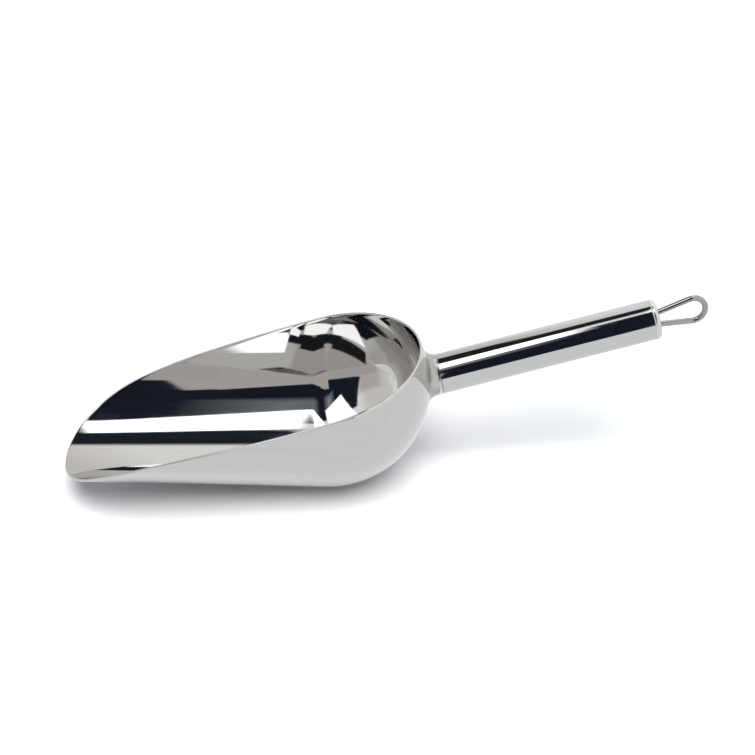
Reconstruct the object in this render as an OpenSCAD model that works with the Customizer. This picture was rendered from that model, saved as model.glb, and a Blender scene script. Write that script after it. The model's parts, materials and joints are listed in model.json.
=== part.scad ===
// Ice scoop: a drawn sheet-steel bowl with a welded tubular handle and a
// bent-wire hanging loop. Every piece is stainless steel and all are welded
// together, so nothing moves.
//
// Millimetres, +Z up. The scoop lies as it rests on a counter: the small flat
// on the rounded back of the bowl is at z = 0, the lip points to -X and the
// handle rises towards +X. The origin is below the middle of the overall length.

/* [Bowl] */
// Outside radius of the ball-shaped back of the bowl
bowl_r = 50; // [46:0.5:54]
// Thickness of the drawn sheet
bowl_wall = 1.25; // [0.8:0.05:1.5]
// Half angle by which the trough narrows towards the lip, in degrees
trough_taper = 2; // [0.5:0.25:3]
// Angle by which the trough rises towards the lip when the scoop rests
trough_pitch = 4.5; // [3:0.25:6]
// Distance from the overall middle to the spot that the bowl rests on
rest_offset = 28.5; // [24:0.1:32]
// Radius of the flat ground on the back of the bowl, which the scoop stands on
rest_flat_r = 5; // [3:0.5:5]

/* [Rim] */
// Height of the straight rim line above the counter, over the resting spot
rim_height = 59.75; // [56:0.25:64]
// Slope of the straight rim line, in degrees
rim_slope = 13.7; // [12:0.1:15]
// Where the straight line turns into the long side curve
side_curve_start = 58; // [50:1:62]
// Radius of the long side curve
side_curve_r = 450; // [380:10:520]
// Where the side curve turns into the lip curve
lip_curve_start = 91; // [86:1:95]
// Radius of the lip curve
lip_curve_r = 115; // [105:1:130]

/* [Handle] */
// Outside diameter of the handle tube
handle_d = 20; // [18:0.5:22]
// Wall of the handle tube
handle_wall = 0.6; // [0.6:0.1:1.2]
// Length of the handle tube between its two seams
handle_len = 107.5; // [90:0.5:130]
// Angle of the handle above the counter
handle_pitch = 11.9; // [8:0.1:16]
// Height at which the handle's axis leaves the back of the bowl
handle_root_z = 50.05; // [46:0.05:54]
// Gap along the axis from the bowl's back to the front seam
neck_gap = 4.4; // [4:0.1:8]
// Width of each seam weld round the tube
seam_w = 0.6; // [0.4:0.1:1]
// Depth to which each seam is ground below the tube's surface
seam_dip = 0.2; // [0.1:0.05:0.3]
// Radius of the hollow weld fillet between bowl and handle
neck_fillet_r = 5; // [3.5:0.25:6]

/* [End plug] */
// How far the plug stands out behind the tube's seam
plug_head = 2.6; // [2.4:0.1:4]
// Rounding of the plug's outer edge
plug_edge_r = 2.2; // [1:0.1:2.3]
// Length of the plug's and the socket's spigots inside the tube
spigot_len = 5; // [4:0.5:10]
// Wall of the two spigots
spigot_wall = 0.8; // [0.6:0.1:1.6]
// Thickness of the plug's face
plug_face = 2; // [1.5:0.1:3.5]

/* [Hanging loop] */
// Diameter of the wire
wire_d = 3; // [2.5:0.1:3.5]
// Radius of the loop's round end, to the middle of the wire
loop_r = 6.3; // [5.5:0.1:7.5]
// Distance from the plug's face to the middle of the round end
loop_reach = 17.8; // [14:0.1:20]
// Distance between the two legs at the plug's face
leg_gap = 6.6; // [6.5:0.1:9]
// Clearance of the drilled holes round the wire, on the diameter
hole_clearance = 0.1; // [0.05:0.05:0.3]

/* [Hidden] */
$fn = 128;
fine_fn = 360;                     // for the large ball where a thin weld lies on it
overrun = 1;                       // how far cutting shapes run past a face
handle_r = handle_d / 2;
bore_r = handle_r - handle_wall;   // inside of the tube, outside of the spigots
trough_len = 145;                  // blank length ahead of the ball's middle
ball_z = sqrt(bowl_r * bowl_r - rest_flat_r * rest_flat_r);
join_at = bowl_r * sin(trough_taper);  // where the trough begins, from the ball's middle
back_x = bowl_r + 5;               // rim trimming shapes end clear behind the ball
curve_lift = 0.01;                 // each rim curve stands this proud of the one behind it
steel = [0.78, 0.79, 0.80];
steel_light = [0.86, 0.86, 0.85];
weld_grey = [0.66, 0.67, 0.69];

// Where the handle's axis crosses the back of the bowl
root_rise = handle_root_z - ball_z;
root_x = sqrt(bowl_r * bowl_r - root_rise * root_rise);
normal_pitch = asin(root_rise / bowl_r);

// Stations along the handle's axis, from the back of the bowl
tube_start = neck_gap + seam_w;
tube_end = tube_start + handle_len;
plug_start = tube_end + seam_w;
face_at = plug_start + plug_head;
inner_face = face_at - plug_face;

// The rim in side view: straight line, then side curve, then lip curve
line_end = [-side_curve_start, rim_height - side_curve_start * tan(rim_slope)];
side_mid = line_end + side_curve_r * [sin(rim_slope), -cos(rim_slope)];
lip_slope = asin((side_mid[0] + lip_curve_start) / side_curve_r);
lip_start = [-lip_curve_start, side_mid[1] + side_curve_r * cos(lip_slope)];
lip_mid = lip_start + lip_curve_r * [sin(lip_slope), -cos(lip_slope)];

// The loop's leg: its angle out from the axis where it runs into the round end
leg_span = norm([loop_reach, leg_gap / 2]);
leg_angle = asin(loop_r / leg_span) - atan(leg_gap / 2 / loop_reach);
leg_len = sqrt(leg_span * leg_span - loop_r * loop_r);
leg_tail = 4;                      // wire inside the plug, from its outer face
leg_d = wire_d - 0.02;             // the bend draws the straight legs a hair thinner
leg_lap = 0.2;                     // each leg laps into the bend by this much

// Puts its children at the middle of the ball
module at_ball() {
    translate([-rest_offset, 0, ball_z]) children();
}

// Puts +Z of its children along the trough, pointing at the lip
module along_trough() {
    at_ball() rotate([0, trough_pitch - 90, 0]) children();
}

// Puts +Z of its children along the handle, starting on the back of the bowl
module along_handle() {
    translate([root_x - rest_offset, 0, handle_root_z]) rotate([0, 90 - handle_pitch, 0]) children();
}

// Ball-shaped back of the blank, up to the circle where the trough begins
module ball_back() {
    reach = bowl_r + overrun;
    difference() {
        at_ball() rotate([0, 0, 180]) difference() {
            sphere(bowl_r);
            sphere(bowl_r - bowl_wall);
        }
        along_trough() translate([-reach, -reach, join_at]) cube(2 * reach);
    }
}

// Tapered trough of the blank, tangent to the ball where they meet. Each of
// its faces lies a hair inside the ball's, and it laps into the ball's wall.
module trough() {
    hair = 0.01;
    lap = 0.05;
    start = join_at - lap;
    outer_r = bowl_r * cos(trough_taper) - hair;
    inner_r = sqrt(pow(bowl_r - bowl_wall, 2) - join_at * join_at) + hair;
    narrowing = (trough_len - start) * tan(trough_taper);
    along_trough() rotate_extrude()
        polygon([[inner_r, start], [outer_r, start],
                 [outer_r - narrowing, trough_len], [inner_r - narrowing, trough_len]]);
}

// Side view of what lies below the rim and above the counter, x along the
// scoop and y upwards. The three shapes lap: each disc runs on below the shape
// behind it.
module below_rim() {
    front_x = -trough_len - bowl_r;
    polygon([line_end, [line_end[0], 0], [back_x, 0],
             [back_x, rim_height + back_x * tan(rim_slope)]]);
    intersection() {
        translate(side_mid) circle(side_curve_r + curve_lift);
        translate([lip_start[0], 0]) square([back_x - lip_start[0], 2 * bowl_r]);
    }
    intersection() {
        translate(lip_mid) circle(lip_curve_r + 2 * curve_lift);
        translate([front_x, 0]) square([line_end[0] - front_x, 2 * bowl_r]);
    }
}

// Drawn bowl: ball back and tapered trough in one sheet, trimmed along the rim
// and ground flat where it meets the counter
module bowl() {
    color(steel) intersection() {
        union() {
            ball_back();
            trough();
        }
        translate([-rest_offset, 0, 0]) rotate([90, 0, 0])
            linear_extrude(height = 2 * back_x, center = true) below_rim();
    }
}

// Ground weld round the foot of the handle: a hollow fillet of radius
// neck_fillet_r that rolls between the ball and the neck
module bowl_weld() {
    neck_r = handle_r / cos(handle_pitch - normal_pitch);
    roll_x = neck_r + neck_fillet_r;
    roll_y = sqrt(pow(bowl_r + neck_fillet_r, 2) - roll_x * roll_x);
    touch = [roll_x, roll_y] * bowl_r / (bowl_r + neck_fillet_r);
    depth = 6;                     // stock behind the faces, cut away by ball and neck
    inside_x = handle_r - depth / 2;
    inside_y = bowl_r - depth;
    color(weld_grey) difference() {
        at_ball() rotate([0, 90 - normal_pitch, 0]) rotate_extrude() difference() {
            polygon([[inside_x, inside_y], [inside_x, roll_y], [roll_x, roll_y], touch, [touch[0], inside_y]]);
            translate([roll_x, roll_y]) circle(neck_fillet_r);
        }
        at_ball() sphere(bowl_r, $fn = fine_fn);
        along_handle() translate([0, 0, -depth]) cylinder(r = handle_r, h = handle_len, $fn = fine_fn);
    }
}

// Turned socket: its foot is shaped to the bowl's back and its spigot holds
// the front of the tube
module neck_socket() {
    foot = 6;                      // stock behind the bowl's surface, cut away
    color(steel_light) difference() {
        along_handle() {
            translate([0, 0, -foot]) cylinder(r = handle_r, h = foot + neck_gap);
            cylinder(r = bore_r, h = tube_start + spigot_len);
        }
        along_handle() translate([0, 0, -foot - overrun])
            cylinder(r = bore_r - spigot_wall, h = foot + tube_start + spigot_len + 2 * overrun);
        at_ball() sphere(bowl_r, $fn = fine_fn);
    }
}

// Weld round the tube that starts at station z, ground to a shallow groove
module seam_weld(z) {
    color(weld_grey) along_handle() translate([0, 0, z]) difference() {
        cylinder(r = handle_r - seam_dip, h = seam_w);
        translate([0, 0, -overrun]) cylinder(r = bore_r, h = seam_w + 2 * overrun);
    }
}

module front_seam_weld() {
    seam_weld(neck_gap);
}

module rear_seam_weld() {
    seam_weld(tube_end);
}

// Handle tube, open at both ends
module handle_tube() {
    color(steel) along_handle() translate([0, 0, tube_start]) difference() {
        cylinder(r = handle_r, h = handle_len);
        translate([0, 0, -overrun]) cylinder(r = bore_r, h = handle_len + 2 * overrun);
    }
}

// One leg's straight line through the plug; side is 1 for the upper leg.
// +Z of its children points out of the handle from the plug's face.
module along_leg(side) {
    along_handle() translate([0, 0, face_at]) translate([-side * leg_gap / 2, 0, 0])
        rotate([0, -side * leg_angle, 0]) children();
}

// End plug: round-edged head, cup-shaped spigot and two drilled leg holes
module end_plug() {
    head_r = handle_r - plug_edge_r;
    color(steel_light) difference() {
        along_handle() rotate_extrude() difference() {
            union() {
                translate([0, plug_start]) square([handle_r, plug_head - plug_edge_r]);
                translate([0, plug_start]) square([head_r, plug_head]);
                intersection() {
                    translate([head_r, face_at - plug_edge_r]) circle(plug_edge_r);
                    translate([0, plug_start]) square([handle_r, plug_head]);
                }
                translate([0, tube_end - spigot_len]) square([bore_r, spigot_len + seam_w + overrun / 2]);
            }
            translate([-overrun, tube_end - spigot_len - overrun])
                square([bore_r - spigot_wall + overrun, inner_face - tube_end + spigot_len + overrun]);
        }
        for (side = [-1, 1]) along_leg(side) translate([0, 0, -2 * plug_face])
            cylinder(d = wire_d + hole_clearance, h = 3 * plug_face);
    }
}

// Hanging loop: bent wire with a round end and two legs that run through the plug
module hanging_loop() {
    color(steel) {
        along_handle() translate([0, 0, face_at + loop_reach]) rotate([90, 0, 0])
            rotate_extrude(start = -leg_angle, angle = 180 + 2 * leg_angle) translate([loop_r, 0]) circle(d = wire_d);
        for (side = [-1, 1]) along_leg(side) translate([0, 0, -leg_tail])
            cylinder(d = leg_d, h = leg_len + leg_tail + leg_lap);
    }
}

// Weld bead round one leg on the inside of the plug's face
module loop_weld(side) {
    bead = 0.8;                    // bead radius beyond the wire
    plane_w = handle_d;
    color(weld_grey) difference() {
        along_leg(side) translate([0, 0, -leg_tail + bead / 4])
            cylinder(r1 = leg_d / 2 + bead / 4, r2 = leg_d / 2 + bead, h = leg_tail);
        along_leg(side) translate([0, 0, -leg_tail - overrun]) cylinder(d = leg_d, h = 2 * leg_tail);
        along_handle() translate([-plane_w / 2, -plane_w / 2, inner_face]) cube([plane_w, plane_w, plane_w]);
    }
}

module loop_weld_upper() {
    loop_weld(1);
}

module loop_weld_lower() {
    loop_weld(-1);
}

bowl();
bowl_weld();
neck_socket();
front_seam_weld();
handle_tube();
rear_seam_weld();
end_plug();
hanging_loop();
loop_weld_upper();
loop_weld_lower();
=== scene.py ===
"""Ice scoop: polished steel surfaces built round the packed CAD frame.

Everything is in metres in the frame's own axes: +X from the lip to the hanging
loop, +Z up, the counter at z = 0.
"""

import json
import math

import bpy
import numpy as np
from bpy.props import (
    FloatProperty,
    FloatVectorProperty,
    IntProperty,
    PointerProperty,
)
from mathutils import Matrix


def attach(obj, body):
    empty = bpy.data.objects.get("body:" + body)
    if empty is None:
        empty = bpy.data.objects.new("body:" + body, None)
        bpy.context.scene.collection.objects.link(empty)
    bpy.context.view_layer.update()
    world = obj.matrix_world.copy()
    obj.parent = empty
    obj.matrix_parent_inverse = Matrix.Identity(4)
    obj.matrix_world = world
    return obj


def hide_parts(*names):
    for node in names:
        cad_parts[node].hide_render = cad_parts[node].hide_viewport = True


bl_info = {
    "name": "Ice Scoop Workshop",
    "version": (1, 0, 0),
    "blender": (4, 5, 0),
    "location": "View3D > Sidebar > Scoop",
    "description": "Builds a polished steel ice scoop and the studio it stands in",
    "category": "Object",
}

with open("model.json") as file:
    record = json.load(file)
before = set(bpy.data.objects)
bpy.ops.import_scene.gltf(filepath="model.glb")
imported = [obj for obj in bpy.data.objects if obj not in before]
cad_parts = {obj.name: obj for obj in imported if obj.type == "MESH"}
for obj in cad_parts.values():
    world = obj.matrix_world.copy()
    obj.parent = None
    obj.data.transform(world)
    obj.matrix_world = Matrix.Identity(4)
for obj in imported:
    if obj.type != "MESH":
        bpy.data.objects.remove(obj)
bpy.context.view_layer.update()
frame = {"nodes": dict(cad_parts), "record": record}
MOUNTS = {mount["name"]: mount for mount in frame["record"]["mounts"]}
MM = 0.001

# Places that the record states
REST_X = MOUNTS["resting_flat"]["pos_m"][0]
GRIP = MOUNTS["handle_grip"]
EYE = np.array(MOUNTS["hang_eye"]["pos_m"])
AXIS = np.array(GRIP["axis"]) / np.linalg.norm(GRIP["axis"])
SIDE = np.array([0.0, 1.0, 0.0])
UPWARD = np.cross(AXIS, SIDE)
GRIP_R = GRIP["dims"]["r_mm"] * MM
GRIP_LENGTH = GRIP["dims"]["length_mm"] * MM
TUBE_START = np.array(GRIP["pos_m"]) - AXIS * GRIP_LENGTH / 2
HANDLE_LEAN = math.atan2(AXIS[2], AXIS[0])

# Points that round to the same multiple of this become one vertex
SAME_POINT = 1e-7
# Times a range is halved to find where the rim cuts a row
HALVINGS = 48
# Depth to which a weld's hidden sides lie below the surfaces that it joins
SUNK = 0.3 * MM
# Points along each straight leg of the wire, round its bend and round the wire
LEG_POINTS = 12
BEND_POINTS = 72
WIRE_POINTS = 33


# ---------------------------------------------------------------- sizes


class BowlSizes(bpy.types.PropertyGroup):
    """Sizes of the drawn bowl and its rim."""

    ball_radius: FloatProperty(
        name="Ball radius",
        description="Outside radius of the ball-shaped back",
        default=0.050,
        unit="LENGTH",
    )
    flat_radius: FloatProperty(
        name="Flat radius",
        description="Radius of the ground flat that the scoop stands on",
        default=0.005,
        unit="LENGTH",
    )
    sheet: FloatProperty(
        name="Sheet",
        description="Thickness of the drawn sheet",
        default=0.00125,
        unit="LENGTH",
    )
    taper: FloatProperty(
        name="Taper",
        description="Half angle by which the trough narrows towards the lip",
        default=math.radians(2.0),
        unit="ROTATION",
    )
    pitch: FloatProperty(
        name="Pitch",
        description="Angle by which the trough rises towards the lip",
        default=math.radians(4.5),
        unit="ROTATION",
    )
    rim_height: FloatProperty(
        name="Rim height",
        description="Height of the straight rim line over the resting spot",
        default=0.05975,
        unit="LENGTH",
    )
    rim_slope: FloatProperty(
        name="Rim slope",
        description="Slope of the straight rim line",
        default=math.radians(13.7),
        unit="ROTATION",
    )
    side_start: FloatProperty(
        name="Side curve start",
        description="Distance ahead of the ball where the side curve begins",
        default=0.058,
        unit="LENGTH",
    )
    side_radius: FloatProperty(
        name="Side curve radius",
        description="Radius of the long side curve of the rim",
        default=0.450,
        unit="LENGTH",
    )
    lip_start: FloatProperty(
        name="Lip curve start",
        description="Distance ahead of the ball where the lip curve begins",
        default=0.091,
        unit="LENGTH",
    )
    lip_radius: FloatProperty(
        name="Lip curve radius",
        description="Radius of the lip curve of the rim",
        default=0.115,
        unit="LENGTH",
    )


class HandleSizes(bpy.types.PropertyGroup):
    """Sizes of the handle, its seams, its socket and its end plug."""

    tube_wall: FloatProperty(
        name="Tube wall",
        description="Wall of the handle tube",
        default=0.0006,
        unit="LENGTH",
    )
    seam_width: FloatProperty(
        name="Seam width",
        description="Width of each seam weld round the tube",
        default=0.0006,
        unit="LENGTH",
    )
    seam_dip: FloatProperty(
        name="Seam dip",
        description="Depth of each seam below the tube's surface",
        default=0.0002,
        unit="LENGTH",
    )
    fillet_over: FloatProperty(
        name="Fillet above",
        description="Radius of the neck's weld fillet on its upper side",
        default=0.005,
        unit="LENGTH",
    )
    fillet_under: FloatProperty(
        name="Fillet below",
        description="Radius of the neck's weld fillet on its lower side",
        default=0.0075,
        unit="LENGTH",
    )
    plug_head: FloatProperty(
        name="Plug head",
        description="How far the plug stands out behind the seam",
        default=0.0026,
        unit="LENGTH",
    )
    plug_edge: FloatProperty(
        name="Plug edge",
        description="Rounding of the plug's outer edge",
        default=0.0022,
        unit="LENGTH",
    )


class LoopSizes(bpy.types.PropertyGroup):
    """Sizes of the bent-wire hanging loop."""

    wire: FloatProperty(
        name="Wire",
        description="Diameter of the wire",
        default=0.003,
        unit="LENGTH",
    )
    bend: FloatProperty(
        name="Bend radius",
        description="Radius of the round end, to the middle of the wire",
        default=0.0063,
        unit="LENGTH",
    )
    leg_gap: FloatProperty(
        name="Leg gap",
        description="Distance between the legs at the plug's face",
        default=0.0066,
        unit="LENGTH",
    )
    leg_tail: FloatProperty(
        name="Leg tail",
        description="Wire inside the plug, from its outer face",
        default=0.0022,
        unit="LENGTH",
    )


class SteelLooks(bpy.types.PropertyGroup):
    """Colours and finish of the steel."""

    mirror: FloatVectorProperty(
        name="Mirror steel",
        description="Reflected colour of the mirror-polished bowl",
        subtype="COLOR",
        size=3,
        min=0,
        max=1,
        default=(0.590, 0.585, 0.578),
    )
    tube: FloatVectorProperty(
        name="Tube steel",
        description="Reflected colour of the polished handle tube",
        subtype="COLOR",
        size=3,
        min=0,
        max=1,
        default=(0.585, 0.582, 0.575),
    )
    # The wire's colour is kept darker than the other steel: painted shade standing in for the
    # dark reflections that run along the thin wire
    wire: FloatVectorProperty(
        name="Wire steel",
        description="Reflected colour of the loop's duller wire",
        subtype="COLOR",
        size=3,
        min=0,
        max=1,
        default=(0.360, 0.362, 0.372),
    )
    satin: FloatVectorProperty(
        name="Satin steel",
        description="Reflected colour of the turned socket and plug",
        subtype="COLOR",
        size=3,
        min=0,
        max=1,
        default=(0.650, 0.648, 0.642),
    )
    weld: FloatVectorProperty(
        name="Weld steel",
        description="Reflected colour of the ground welds",
        subtype="COLOR",
        size=3,
        min=0,
        max=1,
        default=(0.440, 0.450, 0.445),
    )


class StudioSizes(bpy.types.PropertyGroup):
    """Camera, floor, light and the panels that the steel mirrors."""

    azimuth: FloatProperty(
        name="Azimuth",
        description="Camera's turn round the scoop; 0 looks along +Y",
        default=math.radians(-7.75),
        unit="ROTATION",
    )
    elevation: FloatProperty(
        name="Elevation",
        description="Camera's angle above the counter",
        default=math.radians(31.36),
        unit="ROTATION",
    )
    roll: FloatProperty(
        name="Roll",
        description="Camera's turn about its own line of sight",
        default=math.radians(-0.10),
        unit="ROTATION",
    )
    distance: FloatProperty(
        name="Distance",
        description="Distance from the camera to the point it looks at",
        default=0.9039,
        unit="LENGTH",
    )
    aim: FloatVectorProperty(
        name="Aim",
        description="Point that the camera looks at",
        subtype="TRANSLATION",
        unit="LENGTH",
        size=3,
        default=(-0.0014, 0.0204, 0.0390),
    )
    lens: FloatProperty(
        name="Lens",
        description="Focal length on a 36 mm sensor, in millimetres",
        default=85.83,
        min=10,
    )
    sky: FloatProperty(
        name="Sky",
        description="Strength of the even white light from all round",
        default=0.20,
        min=0,
    )
    softbox: FloatProperty(
        name="Softbox",
        description="Strength of the overhead soft light",
        default=4.4,
        min=0,
    )
    softness: FloatProperty(
        name="Softness",
        description="How wide the overhead soft light looks from the scoop",
        default=math.radians(52),
        unit="ROTATION",
    )
    light_lean: FloatProperty(
        name="Light lean",
        description="Lean of the overhead soft light towards the front",
        default=math.radians(24),
        unit="ROTATION",
    )
    floor: FloatVectorProperty(
        name="Floor",
        description="Colour of the counter",
        subtype="COLOR",
        size=3,
        min=0,
        max=1,
        default=(0.90, 0.90, 0.90),
    )
    sheen: FloatVectorProperty(
        name="Sheen",
        description="Brightness of the counter as the steel mirrors it",
        subtype="COLOR",
        size=3,
        min=0,
        max=2,
        default=(0.93, 0.93, 0.955),
    )
    tent_radius: FloatProperty(
        name="Tent radius",
        description="Radius of the tent of panels that the steel mirrors",
        default=1.6,
        unit="LENGTH",
    )
    card_radius: FloatProperty(
        name="Card radius",
        description="Distance of the warm card that the bowl's far wall mirrors",
        default=0.25,
        unit="LENGTH",
    )


class Resolution(bpy.types.PropertyGroup):
    """How finely the surfaces are divided."""

    trough_rows: IntProperty(
        name="Trough rows",
        description="Rows across the trough, from the lip to the ball",
        default=150,
        min=20,
    )
    ball_rows: IntProperty(
        name="Ball rows",
        description="Rows that fan round the ball-shaped back",
        default=140,
        min=20,
    )
    wall_steps: IntProperty(
        name="Wall steps",
        description="Steps up the bowl's wall, from the keel to the rim",
        default=56,
        min=10,
    )
    edge_steps: IntProperty(
        name="Edge steps",
        description="Steps over the rounded rim edge",
        default=10,
        min=4,
    )
    turns: IntProperty(
        name="Turn steps",
        description="Steps round the handle and its rings",
        default=192,
        min=24,
    )


# ---------------------------------------------------------------- meshes


def grid_quads(rows, columns, round_rows):
    """Corner numbers of a rows x columns grid of points, one quad a cell.

    With round_rows the last row joins the first, so the grid is a ring.
    """
    i = np.arange(rows if round_rows else rows - 1)[:, None]
    j = np.arange(columns - 1)[None, :]
    k = (i + 1) % rows
    corners = np.stack(
        np.broadcast_arrays(
            i * columns + j, k * columns + j, k * columns + j + 1, i * columns + j + 1
        ),
        axis=-1,
    )
    return corners.reshape(-1, 4)


def add_piece(name, points, round_rows=True, sharp=math.radians(35)):
    """A smooth mesh object from a grid of points, shape (rows, columns, 3).

    Points that round to the same tenth of a micrometre become one vertex, so
    poles and seams close, and the quads that they flatten become triangles or vanish. A
    closed surface whose enclosed volume is negative is turned the right way.
    """
    rows, columns = points.shape[:2]
    flat = points.reshape(-1, 3)
    keys = np.round(flat / SAME_POINT).astype(np.int64)
    _, first, which = np.unique(keys, axis=0, return_index=True, return_inverse=True)
    vertices = flat[first]
    quads = which.reshape(-1)[grid_quads(rows, columns, round_rows)]
    same = quads == np.roll(quads, -1, axis=1)
    whole = quads[same.sum(axis=1) == 0]
    whole = whole[(whole[:, 0] != whole[:, 2]) & (whole[:, 1] != whole[:, 3])]
    pinched = same.sum(axis=1) == 1
    start = np.argmax(same[pinched], axis=1)[:, None]
    triangles = np.take_along_axis(
        quads[pinched], (start + np.arange(1, 4)) % 4, axis=1
    )
    cut = np.concatenate([whole[:, [0, 1, 2]], whole[:, [0, 2, 3]], triangles])
    a, b, c = (vertices[cut[:, k]] for k in range(3))
    if np.einsum("ij,ij->", a, np.cross(b, c)) < 0:
        whole, triangles = whole[:, ::-1], triangles[:, ::-1]
    mesh = bpy.data.meshes.new(name)
    mesh.from_pydata(vertices.tolist(), [], whole.tolist() + triangles.tolist())
    mesh.validate()
    mesh.shade_smooth()
    mesh.set_sharp_from_angle(angle=sharp)
    piece = bpy.data.objects.new(name, mesh)
    bpy.context.scene.collection.objects.link(piece)
    return piece


def finish_piece(piece, material, slot, *nodes):
    """Gives a piece its material, puts it under the root body and hides the CAD nodes it stands
    for.
    """
    piece.data.materials.append(material)
    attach(piece, "root")
    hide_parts(*nodes)


def on_axis(station, radius, angle):
    """Points round the handle: station along the axis from the tube's start,
    radius out from it, angle from the side (+Y) towards the top."""
    station, radius, angle = np.broadcast_arrays(station, radius, angle)
    return (
        TUBE_START
        + station[..., None] * AXIS
        + (radius * np.cos(angle))[..., None] * SIDE
        + (radius * np.sin(angle))[..., None] * UPWARD
    )


def turn(station, radius, steps):
    """A profile carried round the handle's axis: point (i, j) is the profile's
    j-th station and radius, turned by i parts of a full turn."""
    angle = np.linspace(0, 2 * np.pi, steps, endpoint=False)[:, None]
    return on_axis(np.asarray(station)[None], np.asarray(radius)[None], angle)


def arc(middle, radius, start, end, steps):
    """Stations and radii of an arc: middle + radius * (cos, sin) of an angle
    that goes evenly from start to end, in degrees."""
    angle = np.radians(np.linspace(start, end, steps))
    return middle[0] + radius * np.cos(angle), middle[1] + radius * np.sin(angle)


# ---------------------------------------------------------------- bowl


class BowlShape:
    """The bowl's surface: a ball and a cone that touch along a circle."""

    def __init__(self, sizes):
        self.sizes = sizes
        self.radius = sizes.ball_radius
        self.height = math.sqrt(self.radius**2 - sizes.flat_radius**2)
        self.middle = np.array([REST_X, 0.0, self.height])
        self.forward = np.array([-math.cos(sizes.pitch), 0.0, math.sin(sizes.pitch)])
        self.up = np.array([math.sin(sizes.pitch), 0.0, math.cos(sizes.pitch)])
        self.join = self.radius * math.sin(sizes.taper)
        self.rim_arcs()

    def rim_arcs(self):
        """Middles of the rim's two curves in side view, from the ball's middle
        line: each is as far below the end of the curve behind it as its radius,
        square to that curve, so that the rim has no corner."""
        s = self.sizes
        start = np.array(
            [-s.side_start, s.rim_height - s.side_start * math.tan(s.rim_slope)]
        )
        self.side = start + s.side_radius * np.array(
            [math.sin(s.rim_slope), -math.cos(s.rim_slope)]
        )
        slope = math.asin((self.side[0] + s.lip_start) / s.side_radius)
        start = np.array(
            [-s.lip_start, self.side[1] + s.side_radius * math.cos(slope)]
        )
        self.lip = start + s.lip_radius * np.array([math.sin(slope), -math.cos(slope)])

    def above_rim(self, points):
        """Distance of each point above the rim in side view, and the direction
        in which it grows: off the straight line behind side_start, off the side
        curve up to lip_start, and off the lip curve ahead of that."""
        s = self.sizes
        x, z = points[..., 0] - REST_X, points[..., 2]
        lean = np.array([-math.sin(s.rim_slope), math.cos(s.rim_slope)])
        from_side = np.stack([x, z], axis=-1) - self.side
        from_lip = np.stack([x, z], axis=-1) - self.lip
        side_far = np.linalg.norm(from_side, axis=-1)
        lip_far = np.linalg.norm(from_lip, axis=-1)
        zones = [x > -s.side_start, x > -s.lip_start]
        above = np.select(
            zones,
            [lean[0] * x + lean[1] * (z - s.rim_height), side_far - s.side_radius],
            lip_far - s.lip_radius,
        )
        growth = np.select(
            [zone[..., None] for zone in zones],
            [np.broadcast_to(lean, from_side.shape), from_side / side_far[..., None]],
            from_lip / lip_far[..., None],
        )
        return above, np.stack(
            [growth[..., 0], np.zeros_like(x), growth[..., 1]], axis=-1
        )

    def trough(self, along, angle):
        """Cone: from the ball's middle go along the trough, then out by
        R cos(taper) - (along - join) tan(taper), turned by angle from the keel.
        Returns the points and the outward normals."""
        s = self.sizes
        out = (
            np.sin(angle)[..., None] * SIDE - np.cos(angle)[..., None] * self.up
        )
        far = self.radius * math.cos(s.taper) - (along - self.join) * math.tan(s.taper)
        points = self.middle + along[..., None] * self.forward + far[..., None] * out
        normals = math.cos(s.taper) * out + math.sin(s.taper) * self.forward
        return points, normals

    def ball(self, swing, angle):
        """Ball: every row is the circle in which a plane through the keel's end
        cuts the ball. The plane stands on the line through that point along
        up, swung from straight back (0) to the circle where the trough begins
        (a quarter turn); angle goes round the circle from the keel's end."""
        flat = (
            -np.cos(swing)[..., None] * self.forward + np.sin(swing)[..., None] * SIDE
        )
        across = (
            np.sin(swing)[..., None] * self.forward + np.cos(swing)[..., None] * SIDE
        )
        foot = self.middle + self.join * self.forward
        foot = foot - self.radius * math.cos(self.sizes.taper) * self.up
        offset = ((foot - self.middle) * across).sum(axis=-1)[..., None] * across
        hub = self.middle + offset
        spoke = foot - hub
        size = np.linalg.norm(spoke, axis=-1)[..., None]
        first = spoke / size
        second = flat - (flat * first).sum(axis=-1)[..., None] * first
        second = second / np.linalg.norm(second, axis=-1)[..., None]
        points = hub + size * (
            np.cos(angle)[..., None] * first + np.sin(angle)[..., None] * second
        )
        return points, (points - self.middle) / self.radius

    def solve(self, surface, place, pull):
        """Angle up each row at which the rim, pulled back by pull, cuts it, by
        halving the range 0 to 170 degrees."""
        low = np.zeros_like(place)
        high = np.full_like(place, math.radians(170))
        for _ in range(HALVINGS):
            half = (low + high) / 2
            above = self.above_rim(surface(place, half)[0])[0] + pull
            low = np.where(above < 0, half, low)
            high = np.where(above < 0, high, half)
        return (low + high) / 2

    def pulled(self, surface, place):
        """Rim angle of each row, leaving room for the rounded edge: the rim is
        pulled back by half the sheet, measured in the surface."""
        angle = self.solve(surface, place, 0.0)
        points, normals = surface(place, angle)
        slant = (self.above_rim(points)[1] * normals).sum(axis=-1)
        pull = self.sizes.sheet / 2 * np.sqrt(1 - slant**2)
        return self.solve(surface, place, pull)

    def keel_end(self):
        """Where the keel meets the pulled-back rim at the lip, along the trough
        from the ball's middle, by halving."""
        low, high = self.join, 4 * self.radius
        for _ in range(HALVINGS):
            half = np.array([(low + high) / 2])
            points, normals = self.trough(half, np.zeros(1))
            above, growth = self.above_rim(points)
            slant = (growth * normals).sum()
            if above[0] + self.sizes.sheet / 2 * math.sqrt(1 - slant**2) < 0:
                low = half[0]
            else:
                high = half[0]
        return (low + high) / 2

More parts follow.
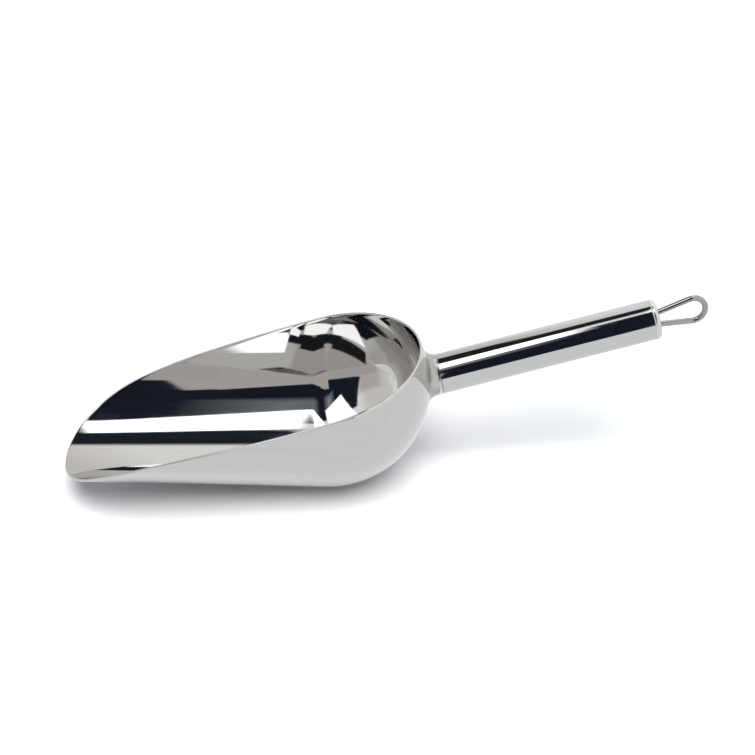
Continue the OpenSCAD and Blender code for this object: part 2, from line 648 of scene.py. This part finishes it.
    def shell(self, trough_rows, ball_rows, wall_steps, edge_steps):
        """The whole sheet as one ring of rows, from the lip along the left
        side, round the back and along the right side to the lip. Each row goes
        from the keel up the outside, over the rounded edge and down the inside:
        the inside is the outside moved in by the sheet along the normal, and
        the edge is a half circle between them. Rows crowd towards the lip, and
        what the flat grinds off is cut at the counter."""
        part = np.linspace(0, 1, trough_rows)[1:]
        along = self.join + (self.keel_end() - self.join) * (1 - part**2)
        swing = np.linspace(np.pi / 2, -np.pi / 2, ball_rows)[1:-1]
        up_wall = np.linspace(0, 1, wall_steps + 1)
        climb = self.pulled(self.trough, along)[:, None] * up_wall
        left, left_out = self.trough(np.repeat(along[:, None], len(up_wall), 1), climb)
        climb = self.pulled(self.ball, swing)[:, None] * up_wall
        back, back_out = self.ball(np.repeat(swing[:, None], len(up_wall), 1), climb)
        tip, tip_out = self.trough(
            np.full((1, len(up_wall)), self.keel_end()), np.zeros((1, len(up_wall)))
        )
        mirror = np.array([1.0, -1.0, 1.0])
        outside = np.concatenate([tip, left, back, left[::-1] * mirror])
        normal = np.concatenate([tip_out, left_out, back_out, left_out[::-1] * mirror])
        inside = outside - self.sizes.sheet * normal
        rim, out = outside[:, -1], normal[:, -1]
        run = np.roll(rim, -1, axis=0) - np.roll(rim, 1, axis=0)
        brow = np.cross(run, out)
        brow /= np.linalg.norm(brow, axis=1)[:, None]
        brow *= np.sign((brow * self.above_rim(rim)[1]).sum(axis=1))[:, None]
        bend = np.linspace(0, np.pi, edge_steps + 1)[1:-1][None, :, None]
        half = self.sizes.sheet / 2
        edge = (
            rim[:, None]
            + half * (np.cos(bend) - 1) * out[:, None]
            + half * np.sin(bend) * brow[:, None]
        )
        outside[..., 2] = np.maximum(outside[..., 2], 0)
        return np.concatenate([outside, edge, inside[:, ::-1]], axis=1)


# ---------------------------------------------------------------- materials


class Nodes:
    """Short hand for building a material's node tree."""

    def __init__(self, name):
        self.material = bpy.data.materials.new(name)
        self.material.use_nodes = True
        self.tree = self.material.node_tree
        self.tree.nodes.clear()

    def add(self, kind, **settings):
        """A node of the given kind, with its plain settings."""
        node = self.tree.nodes.new(kind)
        for key, value in settings.items():
            setattr(node, key, value)
        return node

    def link(self, source, target):
        """Joins an output socket to an input socket."""
        self.tree.links.new(source, target)

    def stretched(self, scale, detail, size, turn=(0.0, 0.0, 0.0)):
        """Noise in object coordinates, scaled by a different amount each way,
        so that it runs in lines along the axis with the smallest scale."""
        place = self.add("ShaderNodeTexCoord")
        mapping = self.add("ShaderNodeMapping")
        mapping.inputs["Scale"].default_value = scale
        mapping.inputs["Rotation"].default_value = turn
        noise = self.add("ShaderNodeTexNoise")
        noise.inputs["Scale"].default_value = size
        noise.inputs["Detail"].default_value = detail
        self.link(place.outputs["Object"], mapping.inputs["Vector"])
        self.link(mapping.outputs["Vector"], noise.inputs["Vector"])
        return noise.outputs["Fac"]

    def spread(self, value, low, high, to_low, to_high):
        """Carries low..high of a value to to_low..to_high, held at the ends."""
        node = self.add("ShaderNodeMapRange", clamp=True)
        node.inputs["From Min"].default_value = low
        node.inputs["From Max"].default_value = high
        node.inputs["To Min"].default_value = to_low
        node.inputs["To Max"].default_value = to_high
        self.link(value, node.inputs["Value"])
        return node.outputs["Result"]

    def bump(self, height, distance, under=None):
        """A bump of the given height in metres, on top of another one."""
        node = self.add("ShaderNodeBump")
        node.inputs["Strength"].default_value = 1.0
        node.inputs["Distance"].default_value = distance
        self.link(height, node.inputs["Height"])
        if under is not None:
            self.link(under, node.inputs["Normal"])
        return node.outputs["Normal"]


# Noise scale of the uneven dulling and of the wheel's waviness, and how much
# longer and finer than the lines the hairs are
CLOUD_SCALE = 34.0
WAVE_SCALE = 26.0
HAIR_LENGTH = 0.3
HAIR_FINENESS = 3.1


def steel(name, color, shade, rough, grain, lean, line_depth, wave_depth):
    """Steel that mirrors its surroundings.

    shade is how much the polishing lines darken and lighten the colour, rough
    the least and greatest roughness, grain the scale of the lines along and
    across them, lean their tilt about Y, line_depth their depth and wave_depth
    the depth of the slow waviness left by the polishing wheel.
    """
    nodes = Nodes(name)
    turn = (0.0, lean, 0.0)
    lines = nodes.stretched((grain[0], grain[1], grain[1]), 3.0, 1.0, turn)
    hair = grain[0] * HAIR_LENGTH, grain[1] * HAIR_FINENESS, grain[1] * HAIR_FINENESS
    hairs = nodes.stretched(hair, 2.0, 1.0, turn)
    clouds = nodes.stretched((1.0, 1.0, 1.0), 4.0, CLOUD_SCALE)
    waves = nodes.stretched((0.5, 1.0, 1.0), 1.0, WAVE_SCALE, turn)
    shader = nodes.add("ShaderNodeBsdfPrincipled")
    shader.inputs["Metallic"].default_value = 1.0
    tint = nodes.add("ShaderNodeMix", data_type="RGBA", blend_type="MIX")
    tint.inputs["A"].default_value = (*[c * (1 - shade) for c in color], 1)
    tint.inputs["B"].default_value = (*[c * (1 + shade) for c in color], 1)
    nodes.link(nodes.spread(lines, 0.32, 0.68, 0.0, 1.0), tint.inputs["Factor"])
    nodes.link(tint.outputs["Result"], shader.inputs["Base Color"])
    blur = nodes.add("ShaderNodeMath", operation="MULTIPLY")
    nodes.link(nodes.spread(lines, 0.35, 0.70, rough[0], rough[1]), blur.inputs[0])
    nodes.link(nodes.spread(clouds, 0.35, 0.65, 0.75, 1.35), blur.inputs[1])
    nodes.link(blur.outputs["Value"], shader.inputs["Roughness"])
    slow = nodes.bump(waves, wave_depth)
    fine = nodes.bump(hairs, line_depth, slow)
    nodes.link(fine, shader.inputs["Normal"])
    output = nodes.add("ShaderNodeOutputMaterial")
    nodes.link(shader.outputs["BSDF"], output.inputs["Surface"])
    return nodes.material


# ---------------------------------------------------------------- pieces


class SCOOP_OT_bowl(bpy.types.Operator):
    """Build the drawn bowl with its rounded rim edge"""

    bl_idname = "scoop.bowl"
    bl_label = "Bowl"

    def execute(self, context):
        scene = context.scene
        fine = scene.scoop_resolution
        shape = BowlShape(scene.scoop_bowl)
        points = shape.shell(
            fine.trough_rows, fine.ball_rows, fine.wall_steps, fine.edge_steps
        )
        bowl = add_piece("bowl_shell", points)
        look = scene.scoop_looks
        finish_piece(
            bowl,
            steel(
                "mirror_steel",
                look.mirror,
                0.02,
                (0.02, 0.06),
                (8, 500),
                0.0,
                1.5e-7,
                1.5e-6,
            ),
            "mirror_steel",
            "bowl",
        )
        return {"FINISHED"}


def neck_fillet(bowl, over, under, steps, turns):
    """Weld fillet round the foot of the handle.

    A ball of radius r rolls round between the bowl and the neck: its middle is
    bowl radius + r from the bowl's middle and grip radius + r from the axis.
    The fillet is the arc of it between the two places where it touches. r goes
    smoothly from over on the upper side to under on the lower side. The rows go
    back a little below both surfaces, so the fillet is closed.
    """
    angle = np.linspace(0, 2 * np.pi, turns, endpoint=False)
    roll = (over + under) / 2 + (over - under) / 2 * np.sin(angle)
    from_ball = TUBE_START - bowl.middle
    sideways = np.cos(angle)[:, None] * SIDE + np.sin(angle)[:, None] * UPWARD
    start = from_ball + (GRIP_R + roll)[:, None] * sideways
    ahead = start @ AXIS
    reach = (bowl.radius + roll) ** 2 - (start**2).sum(axis=1)
    station = -ahead + np.sqrt(ahead**2 + reach)
    middle = bowl.middle + start + station[:, None] * AXIS
    to_ball = (bowl.middle - middle) / (bowl.radius + roll)[:, None]
    to_neck = -sideways
    spread = np.arccos((to_ball * to_neck).sum(axis=1))[:, None, None]
    part = np.linspace(0, 1, steps)[None, :, None]
    way = (
        np.sin((1 - part) * spread) * to_ball[:, None]
        + np.sin(part * spread) * to_neck[:, None]
    ) / np.sin(spread)
    skin = middle[:, None] + roll[:, None, None] * way
    from_middle = skin[:, :1] - bowl.middle
    under_ball = bowl.middle + from_middle * (1 - SUNK / bowl.radius)
    neck_touch = skin[:, -1:] - SUNK * sideways[:, None]
    corner_r = GRIP_R - SUNK
    foot = from_ball + corner_r * sideways
    ahead = foot @ AXIS
    depth = (bowl.radius - SUNK) ** 2 - (foot**2).sum(axis=1)
    corner = bowl.middle + foot + (-ahead + np.sqrt(ahead**2 + depth))[:, None] * AXIS
    ring = [skin, neck_touch, corner[:, None], under_ball, skin[:, :1]]
    return np.concatenate(ring, axis=1)


def socket_ring(bowl, bore, end, turns):
    """Turned socket: a short pipe round the axis from the bowl's skin to end.
    Its foot follows the ball a little below the skin."""
    angle = np.linspace(0, 2 * np.pi, turns, endpoint=False)
    sideways = np.cos(angle)[:, None] * SIDE + np.sin(angle)[:, None] * UPWARD
    rings = []
    for radius in (GRIP_R, bore):
        start = TUBE_START - bowl.middle + radius * sideways
        ahead = start @ AXIS
        deep = (bowl.radius - 0.5 * MM) ** 2 - (start**2).sum(axis=1)
        rings.append(-ahead + np.sqrt(ahead**2 + deep))
    outer, inner = rings
    level = np.full_like(outer, end)
    stations = np.stack([outer, level, level, inner, outer], axis=1)
    radii = np.array([GRIP_R, GRIP_R, bore, bore, GRIP_R])[None]
    return on_axis(stations, np.repeat(radii, turns, axis=0), angle[:, None])


def seam_ring(start, width, dip, bore):
    """Ground seam: a groove across the tube, as deep as dip, whose floor is a
    smooth hollow, closed at the bore."""
    across = np.linspace(0, 1, 9)
    station = start + width * across
    radius = GRIP_R - dip * np.sin(np.pi * across)
    return (
        np.concatenate([station, [start + width, start, start]]),
        np.concatenate([radius, [bore, bore, GRIP_R]]),
    )


class SCOOP_OT_neck(bpy.types.Operator):
    """Build the turned socket, its seam and the weld fillet at the bowl"""

    bl_idname = "scoop.neck"
    bl_label = "Neck"

    def execute(self, context):
        scene = context.scene
        sizes, look = scene.scoop_handle, scene.scoop_looks
        turns = scene.scoop_resolution.turns
        bowl = BowlShape(scene.scoop_bowl)
        bore = GRIP_R - sizes.tube_wall
        satin = steel(
            "socket_steel", look.satin, 0.05, (0.16, 0.26), (400, 30), HANDLE_LEAN, 1e-6, 3e-6
        )
        ground = steel(
            "ground_weld", look.weld, 0.22, (0.16, 0.34), (150, 220), HANDLE_LEAN, 4e-6, 3e-5
        )
        socket = add_piece(
            "socket_ring", socket_ring(bowl, bore - 0.8 * MM, -sizes.seam_width, turns)
        )
        finish_piece(socket, satin, "turned_steel", "neck_socket")
        fillet = add_piece(
            "neck_fillet",
            neck_fillet(bowl, sizes.fillet_over, sizes.fillet_under, 14, turns),
        )
        finish_piece(fillet, ground, "ground_weld", "bowl_weld")
        profile = seam_ring(-sizes.seam_width, sizes.seam_width, sizes.seam_dip, bore)
        seam = add_piece("front_seam", turn(*profile, turns))
        finish_piece(seam, ground, "ground_weld", "front_seam_weld")
        return {"FINISHED"}


class SCOOP_OT_handle(bpy.types.Operator):
    """Build the handle tube and its rear seam"""

    bl_idname = "scoop.handle"
    bl_label = "Handle"

    def execute(self, context):
        scene = context.scene
        sizes, look = scene.scoop_handle, scene.scoop_looks
        turns = scene.scoop_resolution.turns
        bore = GRIP_R - sizes.tube_wall
        ease = 0.1 * MM
        station = [0, ease, GRIP_LENGTH - ease, GRIP_LENGTH, GRIP_LENGTH, 0, 0]
        radius = [GRIP_R - ease, GRIP_R, GRIP_R, GRIP_R - ease, bore, bore, GRIP_R - ease]
        tube = add_piece("handle_grip", turn(station, radius, turns))
        finish_piece(
            tube,
            steel(
                "polished_tube", look.tube, 0.02, (0.02, 0.06), (6, 900), HANDLE_LEAN, 2e-7, 1e-6
            ),
            "polished_tube",
            "handle_tube",
        )
        profile = seam_ring(GRIP_LENGTH, sizes.seam_width, sizes.seam_dip, bore)
        seam = add_piece("rear_seam", turn(*profile, turns))
        finish_piece(
            seam,
            bpy.data.materials["ground_weld"],
            "ground_weld",
            "rear_seam_weld",
        )
        return {"FINISHED"}


class SCOOP_OT_plug(bpy.types.Operator):
    """Build the round-edged end plug"""

    bl_idname = "scoop.plug"
    bl_label = "End plug"

    def execute(self, context):
        scene = context.scene
        sizes, look = scene.scoop_handle, scene.scoop_looks
        start = GRIP_LENGTH + sizes.seam_width
        face = start + sizes.plug_head
        edge = sizes.plug_edge
        round_s, round_r = arc((face - edge, GRIP_R - edge), edge, 90, 0, 14)
        disc = np.linspace(GRIP_R - edge, 0, 12)[1:]
        station = np.concatenate([[start, start], round_s, np.full(11, face), [start]])
        radius = np.concatenate([[0, GRIP_R], round_r, disc, [0]])
        plug = add_piece("end_cap", turn(station, radius, scene.scoop_resolution.turns))
        finish_piece(
            plug,
            steel(
                "plug_steel", look.satin, 0.04, (0.08, 0.16), (300, 60), HANDLE_LEAN, 1e-6, 2e-6
            ),
            "turned_steel",
            "end_plug",
        )
        return {"FINISHED"}


def wire_path(sizes, face, steps):
    """Middle line of the wire in the loop's own plane, as distances along the
    axis and upwards: a straight leg, an arc round the eye that both legs touch,
    and the other leg. Also the direction square to the wire, outwards."""
    reach = float((EYE - TUBE_START) @ AXIS) - face
    span = math.hypot(reach, sizes.leg_gap / 2)
    lean = math.asin(sizes.bend / span) - math.atan2(sizes.leg_gap / 2, reach)
    turn_from = math.pi / 2 + lean
    angle = np.linspace(turn_from, -turn_from, steps)
    bend = np.stack([np.cos(angle), np.sin(angle)], axis=1)
    middle = np.array([face + reach, 0.0])
    leg = math.sqrt(span**2 - sizes.bend**2) + sizes.leg_tail
    way = np.array([math.cos(lean), math.sin(lean)])
    back = np.linspace(leg, leg / LEG_POINTS, LEG_POINTS)[:, None]
    upper = middle + sizes.bend * bend[:1] - back * way
    path = np.concatenate(
        [upper, middle + sizes.bend * bend, upper[::-1] * np.array([1.0, -1.0])]
    )
    out = np.concatenate(
        [
            np.repeat(bend[:1], LEG_POINTS, axis=0),
            bend,
            np.repeat(bend[-1:], LEG_POINTS, axis=0),
        ]
    )
    return path, out


class SCOOP_OT_loop(bpy.types.Operator):
    """Build the bent-wire hanging loop and finish its hidden tack welds"""

    bl_idname = "scoop.loop"
    bl_label = "Hanging loop"

    def execute(self, context):
        scene = context.scene
        sizes, handle = scene.scoop_loop, scene.scoop_handle
        face = GRIP_LENGTH + handle.seam_width + handle.plug_head
        path, out = wire_path(sizes, face, BEND_POINTS)
        turn_by = np.linspace(0, 2 * np.pi, WIRE_POINTS)[None, :]
        half = sizes.wire / 2
        plane = path[:, None] + half * np.cos(turn_by)[..., None] * out[:, None]
        aside = np.broadcast_to(half * np.sin(turn_by), plane.shape[:2])
        skin = (
            TUBE_START
            + plane[..., :1] * AXIS
            + plane[..., 1:] * UPWARD
            + aside[..., None] * SIDE
        )
        ends = [skin[k].mean(axis=0) for k in (0, -1)]
        ends = [np.broadcast_to(end, skin[:1].shape) for end in ends]
        loop = add_piece(
            "hang_loop", np.concatenate([ends[0], skin, ends[1]]), round_rows=False
        )
        # The wire's steel colour is darker than the other steel: painted shade for the dark
        # reflections along the thin wire
        finish_piece(
            loop,
            steel(
                "polished_wire",
                scene.scoop_looks.wire,
                0.03,
                (0.05, 0.12),
                (30, 900),
                HANDLE_LEAN,
                3e-7,
                1e-6,
            ),
            "polished_wire",
            "hanging_loop",
        )
        for name in ("loop_weld_upper", "loop_weld_lower"):
            node = frame["nodes"][name]
            node.data.materials.clear()
            node.data.materials.append(bpy.data.materials["ground_weld"])
        return {"FINISHED"}


# ---------------------------------------------------------------- studio

# The counter's sheen: middle and half length of the keel ahead of the resting
# flat, and the distance from it over which the sheen fades in
KEEL_MIDDLE = -0.045
KEEL_HALF = 0.045
SHEEN_FADE = 0.028

# Points along each side of a panel, and radius and height of the pale wall
PANEL_POINTS = 41
WALL_RADIUS = 2.9
WALL_HEIGHT = 4.0

# Corners of the panels that the steel mirrors: swing and climb in degrees
TENT = ((-89, -4), (-89, 184), (89, 184), (89, -4))
LEFT_WALL = ((-89, 60), (-40, 60), (-40, 200), (-89, 200))
BACK_WALL = ((-60, -5), (-60, 60), (4, 68), (4, -5))
FRONT_DARK = ((-46, 156), (-37, 112), (18, 98), (18, 156))
FRONT_DARK_LOW = ((-10, 150), (-10, 188), (18, 188), (18, 150))
BACK_GAP = ((-48, 44), (-42, 80), (-2, 92), (-2, 56))
BACK_GAP_RIGHT = ((-14, 60), (-14, 94), (20, 94), (20, 72))
TOP_GLOW = ((-12, 100), (-12, 141), (1, 132), (1, 100))
LIP_GLOW = ((6.5, 100), (6.5, 130), (18, 136), (18, 100))
TOP_LIGHT = ((-40, 90), (-20, 134), (0.5, 116), (-1.5, 92))
LIP_LIGHT = ((2, 85), (2, 101), (14, 119), (13.2, 93))
FLAME_LIGHT = ((13, 46), (12.6, 90), (18, 104), (18, 46))
WARM_CARD = ((-70, 143), (-5, 143), (-5, 162), (-70, 162))
WARM_CARD_LIP = ((-6.5, 134.5), (0, 137.5), (3, 170), (-14, 170))
WARM_CARD_NEAR = ((-13, 129.5), (5.2, 137.5), (9, 166), (-13, 166))
LEFT_LOW = ((-75, 126), (-36, 126), (-36, 200), (-75, 200))


def floor_material(color):
    """Pale counter with a faint, slow unevenness."""
    nodes = Nodes("pale_counter")
    shade = nodes.stretched((1.0, 1.0, 1.0), 3.0, 5.0)
    shader = nodes.add("ShaderNodeBsdfPrincipled")
    shader.inputs["Roughness"].default_value = 0.7
    shader.inputs["Specular IOR Level"].default_value = 0.0
    tint = nodes.add("ShaderNodeMix", data_type="RGBA", blend_type="MIX")
    tint.inputs["A"].default_value = (*[c * 0.985 for c in color], 1)
    tint.inputs["B"].default_value = (*color, 1)
    nodes.link(nodes.spread(shade, 0.3, 0.7, 0.0, 1.0), tint.inputs["Factor"])
    nodes.link(tint.outputs["Result"], shader.inputs["Base Color"])
    output = nodes.add("ShaderNodeOutputMaterial")
    nodes.link(shader.outputs["BSDF"], output.inputs["Surface"])
    return nodes.material


def glow_material(name, color, strength, soft):
    """Glow of a stage piece. It fades out over the last part of the stored
    distance inside the edges, as far as soft."""
    nodes = Nodes(name)
    glow = nodes.add("ShaderNodeEmission")
    glow.inputs["Color"].default_value = (*color, 1)
    glow.inputs["Strength"].default_value = strength
    clear = nodes.add("ShaderNodeBsdfTransparent")
    inside = nodes.add("ShaderNodeAttribute", attribute_name="inside")
    mix = nodes.add("ShaderNodeMixShader")
    nodes.link(nodes.spread(inside.outputs["Fac"], 0.0, soft, 0.0, 1.0), mix.inputs[0])
    nodes.link(clear.outputs["BSDF"], mix.inputs[1])
    nodes.link(glow.outputs["Emission"], mix.inputs[2])
    output = nodes.add("ShaderNodeOutputMaterial")
    nodes.link(mix.outputs["Shader"], output.inputs["Surface"])
    return nodes.material


def mirrored_only(piece, material):
    """Makes a piece part of the stage that only reflections see."""
    piece.data.materials.append(material)
    piece.visible_camera = False
    piece.visible_diffuse = False
    piece.visible_shadow = False
    piece.visible_transmission = False


def vertex_places(mesh):
    """Places of a mesh's vertices, as three rows: x, y and z."""
    places = np.empty(len(mesh.vertices) * 3)
    mesh.vertices.foreach_get("co", places)
    return places.reshape(-1, 3).T


def set_inside(mesh, depth):
    """Stores how far inside its edges each vertex lies, by which a glow fades."""
    layer = mesh.attributes.new("inside", "FLOAT", "POINT")
    layer.data.foreach_set("value", depth)


def counter_sheen(color):
    """The counter as the steel mirrors it away from the shadow: rings round the
    scoop's foot, each an oval round the keel. Each point holds how far it is
    from the keel line, so that the sheen fades out towards the shadow."""
    ring = np.linspace(0, 2 * np.pi, 96, endpoint=False)[:, None]
    out = (0.002 * 1500 ** np.linspace(0, 1, 48))[None, :]
    x = REST_X + KEEL_MIDDLE + (out + KEEL_HALF) * np.cos(ring)
    y = out * np.sin(ring)
    points = np.stack([x, y, np.full_like(x, 0.2 * MM)], axis=-1)
    sheen = add_piece("counter_sheen", points)
    x, y, _ = vertex_places(sheen.data)
    beyond = np.maximum(np.abs(x - REST_X - KEEL_MIDDLE) - KEEL_HALF, 0)
    set_inside(sheen.data, np.hypot(beyond, y) / SHEEN_FADE - 0.5)
    mirrored_only(sheen, glow_material("counter_sheen", color, 1.0, 1.0))


def tent_panel(name, radius, corners, material):
    """Panel of the tent: a patch of a ball round the origin. Its four corners
    are pairs of degrees, given in order round it: the swing from the YZ plane
    towards +X, and the climb from the back (+Y) over the top (90) down to the
    front (180). Between them swing and climb blend evenly. Each point holds
    how many degrees it lies inside the nearest of the four straight edges."""
    first, second, third, fourth = np.array(corners, dtype=float)
    along = np.linspace(0, 1, PANEL_POINTS)[:, None, None]
    across = np.linspace(0, 1, PANEL_POINTS)[None, :, None]
    near = first * (1 - along) + second * along
    far = fourth * (1 - along) + third * along
    swing, climb = np.moveaxis(near * (1 - across) + far * across, -1, 0)
    swing, climb = np.radians(swing), np.radians(climb)
    way = [np.sin(swing), np.cos(swing) * np.cos(climb), np.cos(swing) * np.sin(climb)]
    panel = add_piece(name, radius * np.stack(way, axis=-1), round_rows=False)
    x, y, z = vertex_places(panel.data) / radius
    swing = np.degrees(np.arcsin(np.clip(x, -1, 1)))
    climb = (np.degrees(np.arctan2(z, y)) + 90) % 360 - 90
    start = np.array([first, second, third, fourth])
    edge = np.roll(start, -1, axis=0) - start
    turn_way = np.sign(edge[0, 0] * edge[1, 1] - edge[0, 1] * edge[1, 0])
    inside = edge[:, 0, None] * (climb - start[:, 1, None])
    inside -= edge[:, 1, None] * (swing - start[:, 0, None])
    inside *= turn_way / np.linalg.norm(edge, axis=1)[:, None]
    set_inside(panel.data, inside.min(axis=0))
    mirrored_only(panel, material)


def pale_counter(color):
    """Flat counter that the scoop stands on, as a square grid."""
    span = np.linspace(-3.0, 3.0, 13)
    x, y = np.meshgrid(span, span, indexing="ij")
    counter = add_piece(
        "counter", np.stack([x, y, np.zeros_like(x)], axis=-1), round_rows=False
    )
    counter.data.materials.append(floor_material(color))


def studio_wall():
    """Pale upright ring round the counter, which the steel doesn't mirror."""
    turn_by = np.linspace(0, 2 * np.pi, 96, endpoint=False)[:, None]
    height = np.linspace(-0.1, WALL_HEIGHT, 3)[None, :]
    turn_by, height = np.broadcast_arrays(turn_by, height)
    x, y = WALL_RADIUS * np.cos(turn_by), WALL_RADIUS * np.sin(turn_by)
    wall = add_piece("studio_wall", np.stack([x, y, height], axis=-1))
    set_inside(wall.data, np.ones(len(wall.data.vertices)))
    mirrored_only(wall, glow_material("studio_wall", (1.0, 1.0, 1.0), 1.0, 1.0))
    wall.visible_camera = True
    wall.visible_glossy = False


def even_sky(scene, strength):
    """Even cool light from all round."""
    world = bpy.data.worlds.new("studio_light")
    world.use_nodes = True
    sky = world.node_tree.nodes["Background"]
    sky.inputs["Color"].default_value = (0.82, 0.95, 1.12, 1)
    sky.inputs["Strength"].default_value = strength
    scene.world = world


def overhead_softbox(scene, studio):
    """Wide soft light overhead, which the steel doesn't mirror."""
    lamp = bpy.data.lights.new("overhead_softbox", "SUN")
    lamp.angle = studio.softness
    lamp.energy = studio.softbox
    box = bpy.data.objects.new("overhead_softbox", lamp)
    box.rotation_euler = (studio.light_lean, 0.0, 0.0)
    box.visible_glossy = False
    scene.collection.objects.link(box)


def mirrored_panels(studio):
    """Every panel of the tent: name, distance, corners, colour, strength and
    the degrees over which its edges fade."""
    far = studio.tent_radius
    close = studio.card_radius
    black, white = (0.012, 0.016, 0.026), (1.0, 1.0, 1.0)
    panels = [
        ("tent", far * 1.06, TENT, (1.06, 1.06, 1.05), 1.0, 0.1),
        ("left_wall", far * 1.04, LEFT_WALL, (0.84, 0.83, 0.81), 1.0, 10),
        ("left_low", far * 1.035, LEFT_LOW, (0.62, 0.60, 0.57), 1.0, 10),
        ("back_wall", far * 1.03, BACK_WALL, (0.80, 0.77, 0.73), 1.0, 6),
        ("front_dark", far * 1.02, FRONT_DARK, black, 1.0, 2),
        ("front_dark_low", far * 1.02, FRONT_DARK_LOW, black, 1.0, 5),
        ("back_gap", far * 1.01, BACK_GAP, (0.020, 0.022, 0.026), 1.0, 2),
        ("back_gap_right", far * 1.01, BACK_GAP_RIGHT, (0.016, 0.022, 0.030), 1.0, 4),
        ("top_glow", far, TOP_GLOW, (0.60, 0.63, 0.67), 1.0, 12),
        ("lip_glow", far, LIP_GLOW, (0.34, 0.37, 0.39), 1.0, 9),
        ("top_light", far * 0.99, TOP_LIGHT, white, 2.6, 1.5),
        ("lip_light", far * 0.98, LIP_LIGHT, white, 2.6, 0.5),
        ("flame_light", far * 0.97, FLAME_LIGHT, white, 3.2, 1),
        ("warm_card", close, WARM_CARD, (0.54, 0.51, 0.48), 1.0, 1.5),
        ("warm_card_lip", close * 1.4, WARM_CARD_LIP, (0.56, 0.53, 0.50), 1.0, 0.8),
        ("warm_card_near", close * 0.8, WARM_CARD_NEAR, (0.56, 0.53, 0.50), 1.0, 0.5),
    ]
    for name, radius, corners, color, strength, soft in panels:
        tent_panel(
            name, radius, corners, glow_material(name, color, strength, soft)
        )


def studio_camera(scene, studio):
    """Camera that looks at the aim from its azimuth, elevation and distance."""
    camera = bpy.data.cameras.new("camera")
    camera.sensor_width = 36.0
    camera.lens = studio.lens
    camera.clip_start = 0.01
    camera.clip_end = 50.0
    eye = bpy.data.objects.new("camera", camera)
    scene.collection.objects.link(eye)
    a, e = studio.azimuth, studio.elevation
    back = np.array(
        [math.sin(a) * math.cos(e), -math.cos(a) * math.cos(e), math.sin(e)]
    )
    right = np.array([math.cos(a), math.sin(a), 0.0])
    up = np.cross(back, right)
    tilt = math.cos(studio.roll), math.sin(studio.roll)
    across = tilt[0] * right + tilt[1] * up
    over = tilt[0] * up - tilt[1] * right
    place = np.eye(4)
    place[:3, 0], place[:3, 1], place[:3, 2] = across, over, back
    place[:3, 3] = np.array(studio.aim) + studio.distance * back
    eye.matrix_world = Matrix(place.tolist())
    scene.camera = eye


class SCOOP_OT_studio(bpy.types.Operator):
    """Set up the counter, the light, the reflected panels and the camera"""

    bl_idname = "scoop.studio"
    bl_label = "Studio"

    def execute(self, context):
        scene = context.scene
        studio = scene.scoop_studio
        pale_counter(studio.floor)
        counter_sheen(studio.sheen)
        studio_wall()
        even_sky(scene, studio.sky)
        overhead_softbox(scene, studio)
        mirrored_panels(studio)
        studio_camera(scene, studio)
        scene.view_settings.view_transform = "Standard"
        return {"FINISHED"}


class SCOOP_PT_workshop(bpy.types.Panel):
    """Sidebar panel with the scoop's sizes and build steps"""

    bl_idname = "SCOOP_PT_workshop"
    bl_label = "Ice Scoop"
    bl_space_type = "VIEW_3D"
    bl_region_type = "UI"
    bl_category = "Scoop"

    def draw(self, context):
        layout = self.layout
        for step in STEPS:
            layout.operator(step.bl_idname)
        for name, group in GROUPS.items():
            box = layout.box()
            box.label(text=group.__doc__)
            for key in group.__annotations__:
                box.prop(getattr(context.scene, name), key)


GROUPS = {
    "scoop_bowl": BowlSizes,
    "scoop_handle": HandleSizes,
    "scoop_loop": LoopSizes,
    "scoop_looks": SteelLooks,
    "scoop_studio": StudioSizes,
    "scoop_resolution": Resolution,
}
STEPS = (
    SCOOP_OT_bowl,
    SCOOP_OT_neck,
    SCOOP_OT_handle,
    SCOOP_OT_plug,
    SCOOP_OT_loop,
    SCOOP_OT_studio,
)


def register():
    """Adds the classes, and each group of sizes to the scene."""
    for cls in (*GROUPS.values(), *STEPS, SCOOP_PT_workshop):
        bpy.utils.register_class(cls)
    for name, group in GROUPS.items():
        setattr(bpy.types.Scene, name, PointerProperty(type=group))


def unregister():
    """Takes away what register added."""
    for name in GROUPS:
        delattr(bpy.types.Scene, name)
    for cls in reversed((*GROUPS.values(), *STEPS, SCOOP_PT_workshop)):
        bpy.utils.unregister_class(cls)


def main():
    """Registers the add-on and builds every piece."""
    register()
    bpy.ops.scoop.bowl()
    bpy.ops.scoop.neck()
    bpy.ops.scoop.handle()
    bpy.ops.scoop.plug()
    bpy.ops.scoop.loop()
    bpy.ops.scoop.studio()


if __name__ == "__main__":
    main()
